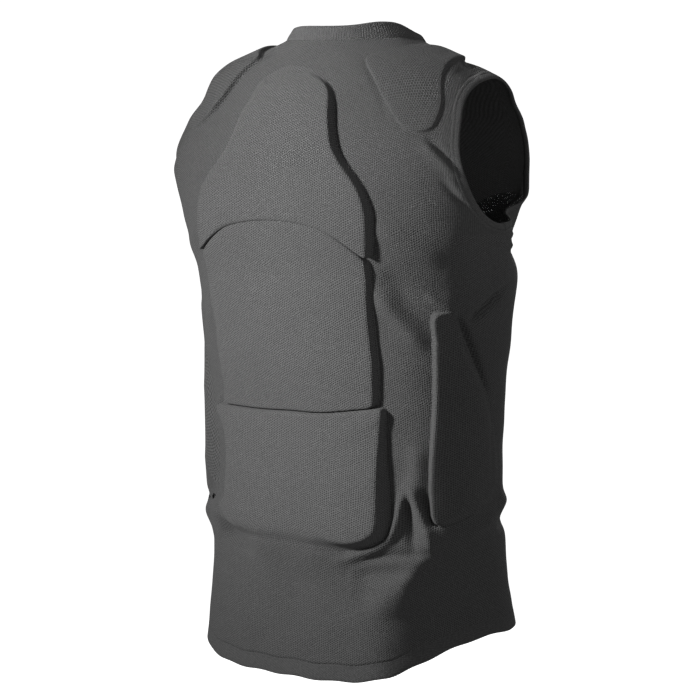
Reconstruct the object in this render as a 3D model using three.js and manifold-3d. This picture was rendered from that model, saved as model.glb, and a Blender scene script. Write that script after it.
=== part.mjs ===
// A padded compression vest: a sleeveless knit shirt with foam guards over the spine, shoulders and ribs.
// Sizes are in millimetres with +Z up. The origin lies midway between the two points where the shoulders
// meet the neck. The wearer faces -Y, so the back is at +Y and the wearer's left at +X.
import * as THREE from 'three';
import { mergeVertices } from 'three/addons/utils/BufferGeometryUtils.js';
import Module from 'manifold-3d';

const wasm = await Module();
wasm.setup();

// Cloth walls and clearances
const CLOTH_WALL = 1.6;
const BAND_WALL = 2.6;
const BAND_PROUD = 0.5;
const GAP = 0.3;
const PAD_CLEARANCE = 0.5;
const PAD_ROOT = 5;
const CORE_WALL = 12;

// Level sections of the worn shirt, from below the hem to above the collar. halfWidth is reached at
// sideY, backY and frontY lie on the centre lines, and square is the exponent of the rounded section.
const TORSO = [
  { z: -720, halfWidth: 186, sideY: 0, backY: 112, frontY: -122, square: 2.5 },
  { z: -620, halfWidth: 179, sideY: -2, backY: 102, frontY: -116, square: 2.5 },
  { z: -550, halfWidth: 175, sideY: 0, backY: 92, frontY: -112, square: 2.5 },
  { z: -470, halfWidth: 173, sideY: 0, backY: 86, frontY: -106, square: 2.5 },
  { z: -400, halfWidth: 175, sideY: 0, backY: 93, frontY: -106, square: 2.5 },
  { z: -320, halfWidth: 181, sideY: 0, backY: 106, frontY: -112, square: 2.5 },
  { z: -250, halfWidth: 187, sideY: 0, backY: 117, frontY: -119, square: 2.6 },
  { z: -190, halfWidth: 203, sideY: 2, backY: 121, frontY: -114, square: 2.8 },
  { z: -130, halfWidth: 217, sideY: 5, backY: 116, frontY: -100, square: 2.85 },
  { z: -90, halfWidth: 212, sideY: -4, backY: 108, frontY: -90, square: 2.45 },
  { z: -64, halfWidth: 201, sideY: -8, backY: 100, frontY: -78, square: 2.1 },
  { z: -46, halfWidth: 190, sideY: -6, backY: 93, frontY: -66, square: 2.1 },
  { z: -32, halfWidth: 163, sideY: -2, backY: 86, frontY: -60, square: 2.1 },
  { z: -20, halfWidth: 126, sideY: 3, backY: 77, frontY: -58, square: 2.1 },
  { z: -10, halfWidth: 99, sideY: 1, backY: 70, frontY: -58, square: 2.05 },
  { z: 0, halfWidth: 76, sideY: 0, backY: 64, frontY: -60, square: 2.0 },
  { z: 25, halfWidth: 66, sideY: 0, backY: 57, frontY: -60, square: 2.0 },
];

// Folds that lie alike on both sides. u runs round the body from the centre of the back, height is out
// from the body, and a negative height is a crease.
const FOLDS = [
  { name: 'pad to armhole', u0: 176, z0: -108, u1: 240, z1: -176, width: 13, height: -3.0 },
  { name: 'armhole ridge', u0: 160, z0: -112, u1: 205, z1: -150, width: 14, height: 2.0 },
  { name: 'blade ridge', u0: 138, z0: -206, u1: 186, z1: -231, width: 14, height: 2.5 },
  { name: 'waist ridge', u0: 128, z0: -266, u1: 155, z1: -331, width: 13, height: 2.5 },
  { name: 'rib front crease', u0: 225, z0: -287, u1: 272, z1: -261, width: 14, height: -2.5 },
  { name: 'below rib pad', u0: 158, z0: -516, u1: 246, z1: -500, width: 17, height: 8.0 },
  { name: 'armpit hollow', u0: 315, z0: -180, u1: 345, z1: -200, width: 36, height: -21.0 },
  { name: 'lumbar corner', u0: 67, z0: -545, u1: 135, z1: -520, width: 14, height: 3.0 },
  { name: 'flank crease', u0: 140, z0: -490, u1: 160, z1: -545, width: 12, height: -2.5 },
  { name: 'hem drape', u0: 103, z0: -596, u1: 157, z1: -556, width: 18, height: 2.5 },
];

// Neck, arm openings and hem
const NECK_FRONT_DEPTH = 79;
const NECK_BACK_DROP = 3;
const NECK_RANGE = [-120, 5];
const NECKBAND_HEIGHT = 15;
const NECKBAND_LEAN = THREE.MathUtils.degToRad(20);
const BINDING_WIDTH = 9.5;
const ARMHOLE_LOW = -200;
const ARMHOLE_HIGH = -42;
const ARMHOLE_BACK_DEPTH = 71;
const ARMHOLE_FRONT_DEPTH = 84;
const ARMHOLE_FRONT_SCOOP = 0.3;
const SHOULDER_FALL = 0.75;
const HEM_WIDTH = 18;
const HEM_FRONT = -630;
const HEM_BACK_DROP = 46;
const HEM_DROP_POWER = 4;
const HEM_LEVEL = -650;
const HEM_FRONT_Y = -118;
const HEM_BACK_Y = 106;

// Mesh fineness
const QUARTER_STEPS = 40;
const SLOPE_STEP = 0.5;
const HALVINGS = 16;
const NECK_COLUMNS = 6;
const SHOULDER_COLUMNS = 6;
const COLUMNS = NECK_COLUMNS + SHOULDER_COLUMNS;
const ARMHOLE_ROWS = 13;
const BODY_ROWS = 17;
const PAD_SIDES = 30;

// Colour of the knit and of the bands
const KNIT = { color: 0x5c5d61, roughness: 0.95, metalness: 0 };
const EDGE = { color: 0x505155, roughness: 0.95, metalness: 0 };

const FACES = ['back', 'front'];
const BACKWARD = new THREE.Vector3(0, 1, 0);
const LEFT = new THREE.Vector3(1, 0, 0);
const UP = new THREE.Vector3(0, 0, 1);

// Monotone cubic through one column of the section table.
function columnCurve(key) {
  const z = TORSO.map((row) => row.z);
  const value = TORSO.map((row) => row[key]);
  const last = z.length - 1;
  const step = z.slice(1).map((high, k) => high - z[k]);
  const rise = step.map((length, k) => (value[k + 1] - value[k]) / length);
  const slope = value.map((_, k) => {
    if (k === 0) return rise[0];
    if (k === last) return rise[last - 1];
    if (rise[k - 1] * rise[k] <= 0) return 0;
    const before = 2 * step[k] + step[k - 1];
    const after = step[k] + 2 * step[k - 1];
    return (before + after) / (before / rise[k - 1] + after / rise[k]);
  });
  return (height) => {
    const level = THREE.MathUtils.clamp(height, z[0], z[last]);
    let k = 0;
    while (k < last - 1 && level > z[k + 1]) k += 1;
    const t = (level - z[k]) / step[k];
    const s = 1 - t;
    const ends = (1 + 2 * t) * s * s * value[k] + t * t * (3 - 2 * t) * value[k + 1];
    return ends + t * s * step[k] * (s * slope[k] - t * slope[k + 1]);
  };
}

const SECTION = {
  halfWidth: columnCurve('halfWidth'),
  sideY: columnCurve('sideY'),
  backY: columnCurve('backY'),
  frontY: columnCurve('frontY'),
  square: columnCurve('square'),
};

// One at the shirt's smooth surface, less inside it and more outside.
function bodyLevel(p) {
  const sideY = SECTION.sideY(p.z);
  const centreY = p.y > sideY ? SECTION.backY(p.z) : SECTION.frontY(p.z);
  const square = SECTION.square(p.z);
  const across = Math.abs(p.x) / SECTION.halfWidth(p.z);
  const through = Math.abs((p.y - sideY) / (centreY - sideY));
  return (across ** square + through ** square) ** (1 / square);
}

function bodyNormal(p) {
  const slope = (axis) => {
    const ahead = bodyLevel(p.clone().addScaledVector(axis, SLOPE_STEP));
    const behind = bodyLevel(p.clone().addScaledVector(axis, -SLOPE_STEP));
    return ahead - behind;
  };
  return new THREE.Vector3(slope(LEFT), slope(BACKWARD), slope(UP)).normalize();
}

// A quarter of the section from the centre line to the side, with the length along it.
function quarterSection(face, z) {
  const sideY = SECTION.sideY(z);
  const depth = (face === 'back' ? SECTION.backY(z) : SECTION.frontY(z)) - sideY;
  const power = 2 / SECTION.square(z);
  const halfWidth = SECTION.halfWidth(z);
  const points = [];
  let length = 0;
  for (let k = 0; k <= QUARTER_STEPS; k += 1) {
    const angle = (k / QUARTER_STEPS) * Math.PI / 2;
    const x = halfWidth * Math.sin(angle) ** power;
    const y = sideY + depth * Math.max(0, Math.cos(angle)) ** power;
    if (k > 0) length += Math.hypot(x - points[k - 1].x, y - points[k - 1].y);
    points.push({ x, y, length });
  }
  return points;
}

function quarterLength(face, z) {
  return quarterSection(face, z)[QUARTER_STEPS].length;
}

function distanceToFold(fold, u, z) {
  const alongU = fold.u1 - fold.u0;
  const alongZ = fold.z1 - fold.z0;
  const share = ((u - fold.u0) * alongU + (z - fold.z0) * alongZ) / (alongU ** 2 + alongZ ** 2);
  const t = THREE.MathUtils.clamp(share, 0, 1);
  return Math.hypot(u - fold.u0 - t * alongU, z - fold.z0 - t * alongZ);
}

function foldLift(u, z) {
  return FOLDS.reduce((sum, fold) => {
    const d = distanceToFold(fold, u, z) / fold.width;
    return sum + fold.height * Math.exp(-d * d);
  }, 0);
}

// A point of the cloth. share runs from 0 on the centre line to 1 at the side, lift is out of the cloth.
function clothPoint({ face, share, z }, lift) {
  const quarter = quarterSection(face, z);
  const whole = quarter[QUARTER_STEPS].length;
  const along = THREE.MathUtils.clamp(share, 0, 1) * whole;
  let k = 0;
  while (k < QUARTER_STEPS - 1 && quarter[k + 1].length < along) k += 1;
  const t = (along - quarter[k].length) / (quarter[k + 1].length - quarter[k].length);
  const x = THREE.MathUtils.lerp(quarter[k].x, quarter[k + 1].x, t);
  const y = THREE.MathUtils.lerp(quarter[k].y, quarter[k + 1].y, t);
  const point = new THREE.Vector3(x, y, z);
  const u = face === 'back' ? along : quarterLength('back', z) + whole - along;
  return point.addScaledVector(bodyNormal(point), foldLift(u, z) + lift);
}

function mirrored(point) {
  return new THREE.Vector3(-point.x, point.y, point.z);
}

// Closed mesh from points and faces, turned so that its faces point out.
function closedGeometry(points, triangles) {
  const volume = triangles.reduce((sum, [a, b, c]) => {
    const normal = points[b].clone().cross(points[c]);
    return sum + points[a].dot(normal);
  }, 0);
  const index = volume < 0 ? triangles.flatMap(([a, b, c]) => [a, c, b]) : triangles.flat();
  const geometry = new THREE.BufferGeometry();
  const positions = points.flatMap((p) => [p.x, p.y, p.z]);
  geometry.setAttribute('position', new THREE.Float32BufferAttribute(positions, 3));
  geometry.setIndex(index);
  geometry.computeVertexNormals();
  return geometry;
}

// A sheet of two matching grids of points, closed along its rim, with mirrored diagonals in its halves.
function sheetGeometry(outer, inner) {
  const rows = outer.length;
  const columns = outer[0].length;
  const middle = (columns - 1) / 2;
  const points = [...outer.flat(), ...inner.flat()];
  const at = (layer, j, i) => layer * rows * columns + j * columns + i;
  const triangles = [];
  const quad = (a, b, c, d) => triangles.push([a, b, c], [a, c, d]);
  const cell = (layer, j, near, far, flip) => {
    const [a, b] = [at(layer, j, near), at(layer, j, far)];
    const [c, d] = [at(layer, j + 1, far), at(layer, j + 1, near)];
    triangles.push(flip ? [a, c, b] : [a, b, c], flip ? [a, d, c] : [a, c, d]);
  };
  for (let j = 0; j < rows - 1; j += 1) {
    for (let i = 0; i < columns - 1; i += 1) {
      const mirror = i < middle;
      const [near, far] = mirror ? [i + 1, i] : [i, i + 1];
      cell(0, j, near, far, mirror);
      cell(1, j, near, far, !mirror);
    }
  }
  for (let i = 0; i < columns - 1; i += 1) {
    quad(at(1, 0, i), at(1, 0, i + 1), at(0, 0, i + 1), at(0, 0, i));
    quad(at(0, rows - 1, i), at(0, rows - 1, i + 1), at(1, rows - 1, i + 1), at(1, rows - 1, i));
  }
  for (let j = 0; j < rows - 1; j += 1) {
    quad(at(0, j, 0), at(0, j + 1, 0), at(1, j + 1, 0), at(1, j, 0));
    quad(at(1, j, columns - 1), at(1, j + 1, columns - 1), at(0, j + 1, columns - 1), at(0, j, columns - 1));
  }
  return closedGeometry(points, triangles);
}

// A closed ring through like sections, each a closed loop of points.
function ringGeometry(sections) {
  const count = sections.length;
  const corners = sections[0].length;
  const triangles = [];
  for (let k = 0; k < count; k += 1) {
    for (let c = 0; c < corners; c += 1) {
      const a = k * corners + c;
      const b = k * corners + (c + 1) % corners;
      const next = ((k + 1) % count) * corners;
      triangles.push([a, b, next + (c + 1) % corners], [a, next + (c + 1) % corners, next + c]);
    }
  }
  return closedGeometry(sections.flat(), triangles);
}

function asManifold(geometry) {
  const bare = geometry.clone();
  bare.deleteAttribute('normal');
  const merged = mergeVertices(bare);
  const vertProperties = merged.attributes.position.array;
  const triVerts = new Uint32Array(merged.index.array);
  return new wasm.Manifold(new wasm.Mesh({ numProp: 3, vertProperties, triVerts }));
}

function asGeometry(manifold) {
  const mesh = manifold.getMesh();
  const geometry = new THREE.BufferGeometry();
  geometry.setAttribute('position', new THREE.Float32BufferAttribute(mesh.vertProperties, 3));
  geometry.setIndex(Array.from(mesh.triVerts));
  geometry.computeVertexNormals();
  return geometry;
}

// Lower edge of the vest, level in front and dropped over the seat.
function hemLevel(face, share) {
  const { y } = clothPoint({ face, share, z: HEM_LEVEL }, 0);
  const back = THREE.MathUtils.clamp((y - HEM_FRONT_Y) / (HEM_BACK_Y - HEM_FRONT_Y), 0, 1);
  return HEM_FRONT - HEM_BACK_DROP * back ** HEM_DROP_POWER;
}

// Places across the hem, margin above the lower edge.
function hemLine(face, margin) {
  return Array.from({ length: COLUMNS + 1 }, (_, i) => {
    const share = i / COLUMNS;
    return { face, share, z: hemLevel(face, share) + margin };
  });
}

// Edge of an arm opening from the armpit to the shoulder, or a line margin away from it in the cloth.
function armholeLine(face, margin) {
  const low = ARMHOLE_LOW - margin;
  const high = ARMHOLE_HIGH + margin * SHOULDER_FALL;
  const depth = (face === 'back' ? ARMHOLE_BACK_DEPTH : ARMHOLE_FRONT_DEPTH) + margin;
  const scoop = face === 'back' ? 0 : ARMHOLE_FRONT_SCOOP;
  return Array.from({ length: ARMHOLE_ROWS + 1 }, (_, j) => {
    const turn = (j / ARMHOLE_ROWS) * Math.PI;
    const z = low + (high - low) * (1 - Math.cos(turn)) / 2;
    const inward = depth * Math.sin(turn) * (1 + scoop * Math.cos(turn));
    return { face, share: 1 - inward / quarterLength(face, z), z };
  });
}

// Height of the shirt over a spot near the neck, seen from above.
function heightOver(x, y) {
  let [low, high] = NECK_RANGE;
  for (let k = 0; k < HALVINGS; k += 1) {
    const middle = (low + high) / 2;
    if (bodyLevel(new THREE.Vector3(x, y, middle)) > 1) high = middle;
    else low = middle;
  }
  return low;
}

// Share of the quarter section at which it reaches out to x.
function shareAt(face, x, z) {
  const quarter = quarterSection(face, z);
  const k = Math.max(1, quarter.findIndex((p) => p.x >= x));
  const t = THREE.MathUtils.clamp((x - quarter[k - 1].x) / (quarter[k].x - quarter[k - 1].x), 0, 1);
  return THREE.MathUtils.lerp(quarter[k - 1].length, quarter[k].length, t) / quarter[QUARTER_STEPS].length;
}

// Neck edge from the centre line to the shoulder: nearly level behind, half an ellipse from above in front.
function neckLine(face) {
  return Array.from({ length: NECK_COLUMNS + 1 }, (_, i) => {
    const turn = (i / NECK_COLUMNS) * Math.PI / 2;
    if (i === NECK_COLUMNS) return { face, share: 1, z: 0 };
    if (face === 'back') return { face, share: i / NECK_COLUMNS, z: -NECK_BACK_DROP * Math.cos(turn) };
    const x = SECTION.halfWidth(0) * Math.sin(turn);
    const z = heightOver(x, -NECK_FRONT_DEPTH * Math.cos(turn));
    return { face, share: shareAt(face, x, z), z };
  });
}

function blend(places, weights) {
  const share = places.reduce((sum, place, k) => sum + weights[k] * place.share, 0);
  const z = places.reduce((sum, place, k) => sum + weights[k] * place.z, 0);
  return { face: places[0].face, share, z };
}

// Rows of places over half a panel, from the hem up to the neck and the shoulder.
function panelRows(face) {
  const hem = hemLine(face, HEM_WIDTH);
  const arm = armholeLine(face, BINDING_WIDTH);
  const neck = neckLine(face);
  const chest = hem.map(({ share }) => ({ face, share, z: arm[0].z }));
  const tip = arm[ARMHOLE_ROWS];
  const shoulder = Array.from({ length: SHOULDER_COLUMNS }, (_, i) => {
    const t = (i + 1) / SHOULDER_COLUMNS;
    return blend([neck[NECK_COLUMNS], tip], [1 - t, t]);
  });
  const top = [...neck, ...shoulder];
  const rows = [];
  for (let j = 0; j < BODY_ROWS; j += 1) {
    const v = j / BODY_ROWS;
    rows.push(hem.map((place, i) => blend([place, chest[i]], [1 - v, v])));
  }
  for (let j = 0; j <= ARMHOLE_ROWS; j += 1) {
    const v = j / ARMHOLE_ROWS;
    const centre = blend([chest[0], top[0]], [1 - v, v]);
    rows.push(top.map((_, i) => {
      const u = i / COLUMNS;
      const edges = [chest[i], top[i], centre, arm[j]];
      const corners = [chest[0], top[0], chest[COLUMNS], tip];
      const edgeWeights = [1 - v, v, 1 - u, u];
      const cornerWeights = [-(1 - u) * (1 - v), -(1 - u) * v, -u * (1 - v), -u * v];
      return blend([...edges, ...corners], [...edgeWeights, ...cornerWeights]);
    }));
  }
  return rows;
}

// Both halves of a panel between two lifts out of the cloth.
function panelGeometry(face, outerLift, innerLift, sideGap) {
  const rows = panelRows(face);
  const layer = (lift) => rows.map((row) => {
    const half = row.map((place) => {
      const limit = 1 - sideGap / 2 / quarterLength(face, place.z);
      return clothPoint({ ...place, share: Math.min(place.share, limit) }, lift);
    });
    return [...half.slice(1).reverse().map(mirrored), ...half];
  });
  return sheetGeometry(layer(outerLift), layer(innerLift));
}

// Section of a folded band: across runs from the seam to the free edge, lift out of the cloth.
const BAND_SECTION = [
  { across: 0, lift: BAND_PROUD },
  { across: 0.9, lift: BAND_PROUD },
  { across: 1, lift: BAND_PROUD - 0.3 * BAND_WALL },
  { across: 1, lift: BAND_PROUD - 0.7 * BAND_WALL },
  { across: 0.9, lift: BAND_PROUD - BAND_WALL },
  { across: 0, lift: BAND_PROUD - BAND_WALL },
];

// A flat band that fills the cloth between a seam and a free edge.
function bandSections(seam, edge, width) {
  const start = GAP / width;
  return seam.map((place, k) => BAND_SECTION.map(({ across, lift }) => {
    const t = start + (1 - start) * across;
    return clothPoint(blend([place, edge[k]], [1 - t, t]), lift);
  }));
}

// Closes two lines that share their ends into one loop.
function loop(first, second) {
  return [...first, ...second.slice(1, -1).reverse()];
}

function armholeBinding() {
  const [back, front] = FACES.map((face) => (
    bandSections(armholeLine(face, BINDING_WIDTH), armholeLine(face, 0), BINDING_WIDTH)
  ));
  return loop(back, front);
}

function mirroredSections(sections) {
  return sections.map((section) => section.map(mirrored));
}

// Closes a half ring, from the centre of the back to the centre of the front, by its mirror image.
function wholeRing(half) {
  return loop(half, mirroredSections(half));
}

function hemSections() {
  const [back, front] = FACES.map((face) => (
    bandSections(hemLine(face, HEM_WIDTH), hemLine(face, 0), HEM_WIDTH)
  ));
  return wholeRing([...back, ...front.slice(0, -1).reverse()]);
}

// The neckband stands on the neck edge and leans in towards the neck.
function neckbandSections() {
  const section = (place) => {
    const foot = clothPoint(place, 0);
    const inward = new THREE.Vector3(-foot.x, -foot.y, 0).normalize();
    const rise = UP.clone().multiplyScalar(Math.cos(NECKBAND_LEAN));
    rise.addScaledVector(inward, Math.sin(NECKBAND_LEAN));
    const out = UP.clone().multiplyScalar(Math.sin(NECKBAND_LEAN));
    out.addScaledVector(inward, -Math.cos(NECKBAND_LEAN));
    return BAND_SECTION.map(({ across, lift }) => {
      const height = GAP + (NECKBAND_HEIGHT - GAP) * across;
      return foot.clone().addScaledVector(rise, height).addScaledVector(out, lift);
    });
  };
  const [back, front] = FACES.map((face) => neckLine(face).map(section));
  return wholeRing([...back, ...front.slice(0, -1).reverse()]);
}

// Outline of each guard, seen along outward. across and up span the view, and a and b are measured along
// them. thickTop and thickFoot are the heights of the guard above the cloth at its two ends.
const SHOULDER_TILT = THREE.MathUtils.degToRad(60);
const RIB_TURN = THREE.MathUtils.degToRad(25);
const BACK_VIEW = { outward: BACKWARD, across: LEFT, up: UP };
const RIB_VIEW = {
  outward: new THREE.Vector3(Math.cos(RIB_TURN), Math.sin(RIB_TURN), 0),
  across: new THREE.Vector3(-Math.sin(RIB_TURN), Math.cos(RIB_TURN), 0),
  up: UP,
};
const SHOULDER_VIEW = {
  outward: new THREE.Vector3(0, Math.cos(SHOULDER_TILT), Math.sin(SHOULDER_TILT)),
  across: LEFT,
  up: new THREE.Vector3(0, -Math.sin(SHOULDER_TILT), Math.cos(SHOULDER_TILT)),
};

// Right-hand half of each spine guard from its top to its foot on the centre line.
const UPPER_HALF = [
  { a: 0, b: -37 }, { a: 28, b: -39 }, { a: 45, b: -47 }, { a: 54, b: -62 }, { a: 61, b: -86 },
  { a: 70, b: -109 }, { a: 89, b: -132 }, { a: 108, b: -150 }, { a: 118, b: -173 }, { a: 118, b: -205 },
  { a: 116, b: -224 }, { a: 110, b: -224 }, { a: 82, b: -209 }, { a: 43, b: -196 }, { a: 0, b: -191 },
];
const MIDDLE_HALF = [
  { a: 0, b: -195 }, { a: 43, b: -200 }, { a: 82, b: -213 }, { a: 109, b: -228 }, { a: 115, b: -236 },
  { a: 112, b: -280 }, { a: 110, b: -330 }, { a: 106, b: -372 }, { a: 101, b: -381 }, { a: 60, b: -388 },
  { a: 0, b: -390 },
];
const LUMBAR_HALF = [
  { a: 0, b: -394 }, { a: 60, b: -392 }, { a: 107, b: -384 }, { a: 115, b: -389 }, { a: 113, b: -430 },
  { a: 111, b: -470 }, { a: 111, b: -506 }, { a: 105, b: -518 }, { a: 78, b: -525 }, { a: 0, b: -527 },
];
const RIB_OUTLINE = [
  { a: -8, b: -283 }, { a: -28, b: -284 }, { a: -38, b: -306 }, { a: -54, b: -336 }, { a: -70, b: -364 },
  { a: -84, b: -394 }, { a: -94, b: -434 }, { a: -95, b: -468 }, { a: -87, b: -481 }, { a: -50, b: -492 },
  { a: -15, b: -501 }, { a: -8, b: -490 }, { a: -10, b: -430 }, { a: -12, b: -370 }, { a: -9, b: -310 },
];
const SHOULDER_OUTLINE = [
  { a: 74, b: -76 }, { a: 96, b: -100 }, { a: 118, b: -118 }, { a: 134, b: -131 }, { a: 148, b: -134 },
  { a: 166, b: -132 }, { a: 175, b: -125 }, { a: 173, b: -109 }, { a: 168, b: -91 }, { a: 163, b: -70 },
  { a: 160, b: -42 }, { a: 159, b: -14 }, { a: 153, b: 6 }, { a: 139, b: 13 }, { a: 121, b: 14 },
  { a: 109, b: 7 }, { a: 102, b: -9 }, { a: 95, b: -30 }, { a: 85, b: -54 }, { a: 76, b: -66 },
];

function bothHalves(half) {
  const other = half.slice(1, -1).reverse().map(({ a, b }) => ({ a: -a, b }));
  return [...half, ...other];
}

// Rings of a guard from foot to crown: scale shrinks the outline, height is a share of the thickness.
const PAD_RINGS = [
  { scale: 0.995, height: 0.55 },
  { scale: 0.98, height: 0.85 },
  { scale: 0.94, height: 0.98 },
  { scale: 0.5, height: 1.04 },
];
const PAD_ROOT_SCALES = [1, 0.65, 0.33];
const FAR_OUT = 420;
const DROP_STEP = 6;

// Where a line of sight along the view meets the shirt.
function seenOnBody(view, a, b) {
  const start = view.across.clone().multiplyScalar(a).addScaledVector(view.up, b);
  const place = (out) => start.clone().addScaledVector(view.outward, out);
  let outside = FAR_OUT;
  while (bodyLevel(place(outside - DROP_STEP)) > 1 && outside > -FAR_OUT) outside -= DROP_STEP;
  let inside = outside - DROP_STEP;
  for (let k = 0; k < HALVINGS; k += 1) {
    const middle = (outside + inside) / 2;
    if (bodyLevel(place(middle)) > 1) outside = middle;
    else inside = middle;
  }
  return place(inside);
}

function padGeometry({ view, outline, thickTop, thickFoot }) {
  const closed = new THREE.CatmullRomCurve3(outline.map(({ a, b }) => new THREE.Vector3(a, b, 0)), true);
  const edge = closed.getSpacedPoints(PAD_SIDES).slice(0, PAD_SIDES);
  const box = new THREE.Box3().setFromPoints(edge);
  const middle = box.getCenter(new THREE.Vector3());
  const onBody = (spot, lift) => {
    const foot = seenOnBody(view, spot.x, spot.y);
    return foot.addScaledVector(bodyNormal(foot), lift);
  };
  const thickness = ({ y }) => THREE.MathUtils.mapLinear(y, box.max.y, box.min.y, thickTop, thickFoot);
  const shrunk = (spot, scale) => middle.clone().lerp(spot, scale);
  const points = [onBody(middle, -PAD_ROOT)];
  for (const scale of [...PAD_ROOT_SCALES].reverse()) {
    points.push(...edge.map((spot) => onBody(shrunk(spot, scale), -PAD_ROOT)));
  }
  for (const { scale, height } of PAD_RINGS) {
    points.push(...edge.map((spot) => onBody(shrunk(spot, scale), height * thickness(spot))));
  }
  points.push(onBody(middle, PAD_RINGS.at(-1).height * thickness(middle)));
  const rings = PAD_ROOT_SCALES.length + PAD_RINGS.length;
  const at = (ring, k) => 1 + ring * PAD_SIDES + (k % PAD_SIDES);
  const triangles = [];
  for (let k = 0; k < PAD_SIDES; k += 1) {
    triangles.push([0, at(0, k + 1), at(0, k)]);
    triangles.push([points.length - 1, at(rings - 1, k), at(rings - 1, k + 1)]);
    for (let ring = 0; ring < rings - 1; ring += 1) {
      triangles.push([at(ring, k), at(ring, k + 1), at(ring + 1, k + 1)]);
      triangles.push([at(ring, k), at(ring + 1, k + 1), at(ring + 1, k)]);
    }
  }
  return closedGeometry(points, triangles);
}

function mirroredGeometry(geometry) {
  const copy = geometry.clone();
  copy.scale(-1, 1, 1);
  const index = Array.from(copy.index.array);
  for (let k = 0; k < index.length; k += 3) [index[k + 1], index[k + 2]] = [index[k + 2], index[k + 1]];
  copy.setIndex(index);
  copy.computeVertexNormals();
  return copy;
}

// The shirt grown by the clearance, which is cut out of the foot of every guard.
const [grownBack, grownFront] = FACES.map((face) => (
  asManifold(panelGeometry(face, PAD_CLEARANCE, -CORE_WALL, 0))
));
const grownShirt = grownBack.add(grownFront);

function seatedPad(row) {
  return asGeometry(asManifold(padGeometry(row)).subtract(grownShirt));
}

function piece(name, geometry, finish) {
  const mesh = new THREE.Mesh(geometry, new THREE.MeshStandardMaterial(finish));
  mesh.name = name;
  return mesh;
}

const shirt = new THREE.Group();
for (const face of FACES) {
  shirt.add(piece(`${face}_panel`, panelGeometry(face, 0, -CLOTH_WALL, GAP), KNIT));
}

const edges = new THREE.Group();
edges.add(piece('neckband', ringGeometry(neckbandSections()), EDGE));
edges.add(piece('armhole_binding_left', ringGeometry(armholeBinding()), EDGE));
edges.add(piece('armhole_binding_right', ringGeometry(mirroredSections(armholeBinding())), EDGE));
edges.add(piece('hem', ringGeometry(hemSections()), EDGE));

const SPINE_GUARDS = [
  { name: 'back_pad_upper', half: UPPER_HALF, thickTop: 13, thickFoot: 18 },
  { name: 'back_pad_middle', half: MIDDLE_HALF, thickTop: 14, thickFoot: 14 },
  { name: 'back_pad_lumbar', half: LUMBAR_HALF, thickTop: 16, thickFoot: 22 },
];
const PAIRED_GUARDS = [
  { name: 'shoulder_pad', view: SHOULDER_VIEW, outline: SHOULDER_OUTLINE, thickTop: 6, thickFoot: 8 },
  { name: 'rib_pad', view: RIB_VIEW, outline: RIB_OUTLINE, thickTop: 6, thickFoot: 13 },
];

const guards = new THREE.Group();
for (const { name, half, ...size } of SPINE_GUARDS) {
  guards.add(piece(name, seatedPad({ view: BACK_VIEW, outline: bothHalves(half), ...size }), KNIT));
}
for (const { name, ...row } of PAIRED_GUARDS) {
  const left = seatedPad(row);
  guards.add(piece(`${name}_left`, left, KNIT));
  guards.add(piece(`${name}_right`, mirroredGeometry(left), KNIT));
}

const vest = new THREE.Group();
vest.add(shirt, edges, guards);

export default vest;
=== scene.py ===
"""Dresses the padded vest: knit shirt, foam guards, bands and stitch rows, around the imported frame.

Sizes in the tables are millimetres, and those of the studio metres. The wearer faces -Y, so the back is at
+Y and the wearer's left at +X.
"""
import math
from collections import namedtuple

import bmesh
import bpy
import numpy as np
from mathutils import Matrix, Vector


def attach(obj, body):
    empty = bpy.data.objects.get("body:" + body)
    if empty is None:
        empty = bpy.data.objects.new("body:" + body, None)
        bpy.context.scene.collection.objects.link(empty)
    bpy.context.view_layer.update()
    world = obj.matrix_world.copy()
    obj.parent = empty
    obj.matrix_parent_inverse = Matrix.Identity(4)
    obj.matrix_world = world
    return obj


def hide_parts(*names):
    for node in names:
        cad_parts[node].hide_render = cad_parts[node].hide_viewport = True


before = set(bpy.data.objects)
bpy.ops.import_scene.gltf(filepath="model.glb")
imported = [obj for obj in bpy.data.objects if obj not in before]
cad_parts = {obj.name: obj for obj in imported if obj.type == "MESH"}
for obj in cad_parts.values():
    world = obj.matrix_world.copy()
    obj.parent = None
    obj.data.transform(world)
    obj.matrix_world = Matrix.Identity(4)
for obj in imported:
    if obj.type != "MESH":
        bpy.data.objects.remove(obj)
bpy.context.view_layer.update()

MM = 0.001
BACK, FRONT = 1, -1
LEFT, RIGHT = 1, -1
UP = np.array([0, 0, 1.0])

# Level sections of the worn shirt, as the solids have them, with a straighter skirt
Section = namedtuple("Section", "z half_width side_y back_y front_y square")
TORSO = [
    Section(-720, 197, 0, 99, -148, 2.4),
    Section(-620, 185, -2, 97, -132, 2.4),
    Section(-550, 177, 0, 92, -112, 2.45),
    Section(-470, 173, 0, 86, -106, 2.5),
    Section(-400, 175, 0, 93, -106, 2.5),
    Section(-320, 181, 0, 106, -112, 2.5),
    Section(-250, 187, 0, 117, -119, 2.6),
    Section(-190, 203, 2, 121, -114, 2.8),
    Section(-130, 217, 5, 116, -100, 2.85),
    Section(-90, 212, -4, 108, -90, 2.45),
    Section(-64, 201, -8, 100, -78, 2.1),
    Section(-46, 190, -6, 93, -66, 2.1),
    Section(-32, 163, -2, 86, -60, 2.1),
    Section(-20, 126, 3, 77, -58, 2.1),
    Section(-10, 99, 1, 70, -58, 2.05),
    Section(0, 76, 0, 64, -60, 2.0),
    Section(25, 66, 0, 57, -60, 2.0),
]

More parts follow.
